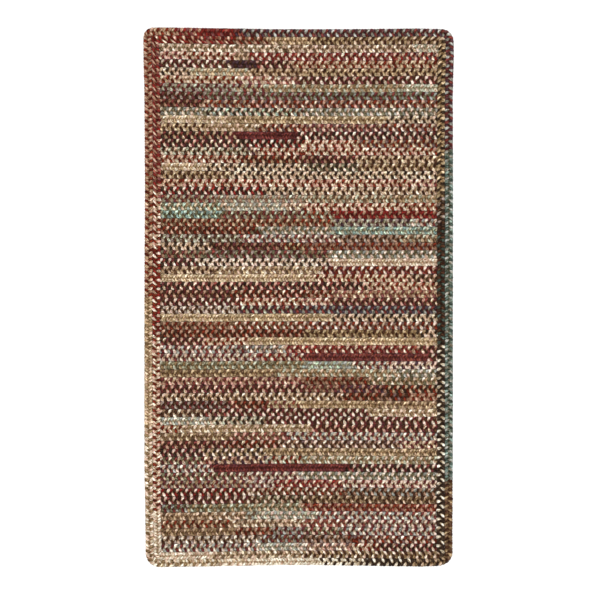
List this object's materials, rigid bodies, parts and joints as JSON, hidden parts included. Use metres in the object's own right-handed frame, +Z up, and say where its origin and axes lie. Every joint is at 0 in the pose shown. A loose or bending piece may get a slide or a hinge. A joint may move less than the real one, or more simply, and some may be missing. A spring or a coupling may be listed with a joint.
{
  "type": "braided rug",
  "caption": "Flat rectangular rug of straight braids sewn side by side, with two rounds of braid around them and rounded corners.",
  "frame": {"origin": "middle of the underside, on the floor", "axes": "+X across the rug, along its straight braids; +Y along its length; +Z up"},
  "size_m": [0.706, 1.225, 0.0115],
  "materials": {
    "cream_yarn": "matt heathered yarn, mostly cream",
    "tan_yarn": "matt heathered yarn, mostly tan",
    "olive_yarn": "matt heathered yarn, mostly olive",
    "sage_yarn": "matt heathered yarn, mostly sage",
    "teal_yarn": "matt heathered yarn, mostly grey-green",
    "rust_yarn": "matt heathered yarn, mostly rust",
    "rose_yarn": "matt heathered yarn, mostly dusty rose",
    "charcoal_yarn": "matt heathered yarn, mostly charcoal"
  },
  "bodies": {
    "root": {"border_outer": "charcoal_yarn", "border_inner": "olive_yarn", "braid_pair_01": "cream_yarn", "braid_pair_02": "tan_yarn", "braid_pair_03": "rust_yarn", "braid_pair_04": "rust_yarn", "braid_pair_05": "sage_yarn", "braid_pair_06": "rust_yarn", "braid_pair_07": "tan_yarn", "braid_pair_08": "rust_yarn", "braid_pair_09": "rose_yarn", "braid_pair_10": "tan_yarn", "braid_pair_11": "teal_yarn", "braid_pair_12": "rust_yarn", "braid_pair_13": "teal_yarn", "braid_pair_14": "tan_yarn", "braid_pair_15": "cream_yarn", "braid_pair_16": "rust_yarn", "braid_pair_17": "charcoal_yarn", "braid_pair_18": "tan_yarn", "braid_pair_19": "rose_yarn", "braid_pair_20": "tan_yarn", "braid_pair_21": "rust_yarn", "braid_pair_22": "charcoal_yarn", "braid_pair_23": "rose_yarn", "braid_pair_24": "olive_yarn", "braid_pair_25": "tan_yarn", "braid_pair_26": "rust_yarn", "braid_pair_27": "rust_yarn", "braid_pair_28": "olive_yarn", "braid_pair_29": "rust_yarn", "braid_pair_30": "tan_yarn", "braid_pair_31": "tan_yarn", "braid_pair_32": "rose_yarn"}
  },
  "joints": []
}
